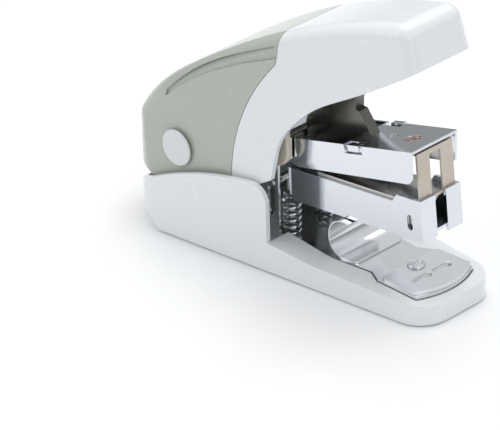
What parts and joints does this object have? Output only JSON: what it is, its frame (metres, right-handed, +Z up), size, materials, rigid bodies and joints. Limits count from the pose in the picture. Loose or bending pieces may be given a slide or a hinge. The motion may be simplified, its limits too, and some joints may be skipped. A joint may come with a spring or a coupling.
{
  "type": "stapler",
  "caption": "Small light-effort desk stapler with a raised curved handle, open linkage, plated magazine and driver arm, and a boat-shaped base.",
  "frame": {"origin": "on the desk surface, in the mirror plane, straight below the line on which the staple is closed", "axes": "+X from the hinge towards the mouth, +Z up, +Y to the left seen from the hinge end"},
  "size_m": [0.1014, 0.043, 0.08],
  "materials": {
    "white_plastic_base": "smooth moulded",
    "rubber_sole": "matt",
    "plated_steel_frame": "zinc plated sheet",
    "bright_steel_anvil": "bright pressed",
    "plated_rivets": "formed head",
    "plated_screws": "plated",
    "spring_steel_leaf": "polished strip",
    "spring_wire_lift": "drawn wire",
    "white_plastic_handle": "smooth moulded",
    "grey_plastic_cover": "smooth moulded",
    "steel_pins_handle": "ground pin",
    "grey_plastic_cap_left": "smooth moulded",
    "grey_plastic_cap_right": "smooth moulded",
    "steel_pins_link_rear": "ground pin",
    "spring_wire_return": "drawn wire",
    "chrome_arm": "bright plated",
    "steel_pin_arm": "ground pin",
    "nylon_left": "moulded nylon",
    "nylon_right": "moulded nylon",
    "dark_steel_rib": "pressed sheet",
    "chrome_clips": "bright plated",
    "copper_rivet": "copper coloured head",
    "steel_pins_link_front": "ground pin",
    "steel_pin_magazine": "ground pin",
    "chrome_magazine": "bright plated",
    "steel_rail": "zinc plated sheet",
    "staple_wire": "galvanised wire glued in a strip",
    "steel_rod": "drawn rod",
    "spring_wire_pusher": "drawn wire",
    "steel_blade": "satin spring steel",
    "dark_plastic_pusher": "moulded",
    "steel_link_left": "pressed sheet",
    "steel_link_right": "pressed sheet"
  },
  "bodies": {
    "base": {"base_shell": "white_plastic_base", "sole_pad": "rubber_sole", "base_frame": "plated_steel_frame", "anvil_plate": "bright_steel_anvil", "anvil_rivet": "plated_rivets", "frame_screws": "plated_screws", "lift_leaf": "spring_steel_leaf", "lift_coils": "spring_wire_lift"},
    "handle": {"handle_shell": "white_plastic_handle", "rear_cover": "grey_plastic_cover", "handle_pin": "steel_pins_handle", "pivot_cap_left": "grey_plastic_cap_left", "pivot_cap_right": "grey_plastic_cap_right", "link_rear_pins": "steel_pins_link_rear", "handle_return_spring": "spring_wire_return"},
    "arm": {"driver_arm": "chrome_arm", "arm_pin": "steel_pin_arm", "nylon_lever_left": "nylon_left", "nylon_lever_right": "nylon_right", "press_rib": "dark_steel_rib", "arm_clips": "chrome_clips", "blade_rivet": "copper_rivet", "link_front_pins": "steel_pins_link_front"},
    "carrier": {"magazine_pin": "steel_pin_magazine"},
    "magazine": {"magazine_channel": "chrome_magazine", "staple_rail": "steel_rail", "staple_strip": "staple_wire", "guide_rod": "steel_rod", "pusher_spring": "spring_wire_pusher"},
    "blade": {"driver_blade": "steel_blade"},
    "pusher_body": {"pusher": "dark_plastic_pusher"},
    "links": {"push_link_left": "steel_link_left", "push_link_right": "steel_link_right"}
  },
  "joints": [
    {"name": "handle_pivot", "type": "hinge", "parent": "base", "child": "handle", "pos_m": [-0.073, 0, 0.0252], "axis": [0, 1, 0], "range_deg": [0, 27], "stiffness_Nm_per_rad": 0.25, "springref_deg": -28.65},
    {"name": "arm_pivot", "type": "hinge", "parent": "base", "child": "arm", "pos_m": [-0.044, 0, 0.033], "axis": [0, 1, 0], "range_deg": [0, 28.9]},
    {"name": "magazine_slide", "type": "slide", "parent": "base", "child": "carrier", "axis": [0, 0, -1], "range_m": [0, 0.0079], "deforming": ["lift_coils", "lift_leaf"]},
    {"name": "magazine_pivot", "type": "hinge", "parent": "carrier", "child": "magazine", "pos_m": [-0.047, 0, 0.0208], "axis": [0, 1, 0], "range_deg": [0, 5]},
    {"name": "blade_slide", "type": "slide", "parent": "magazine", "child": "blade", "axis": [0.0872, 0, -0.9962], "range_m": [0, 0.0107]},
    {"name": "pusher_slide", "type": "slide", "parent": "magazine", "child": "pusher_body", "axis": [0.9962, 0, 0.0872], "range_m": [-0.006, 0], "stiffness_N_per_m": 60, "springref_m": 0.03},
    {"name": "link_pivot", "type": "hinge", "parent": "handle", "child": "links", "pos_m": [-0.07525, 0, 0.03457], "axis": [0, 1, 0], "range_deg": [-27, 0]}
  ],
  "couplings": [
    {"joint": "arm_pivot", "follows": "handle_pivot", "ratio": 1.0704},
    {"joint": "magazine_slide", "follows": "handle_pivot", "m_per_rad": 0.016764},
    {"joint": "magazine_pivot", "follows": "handle_pivot", "ratio": 0.18518},
    {"joint": "blade_slide", "follows": "handle_pivot", "m_per_rad": 0.022706},
    {"joint": "link_pivot", "follows": "handle_pivot", "ratio": -1}
  ]
}
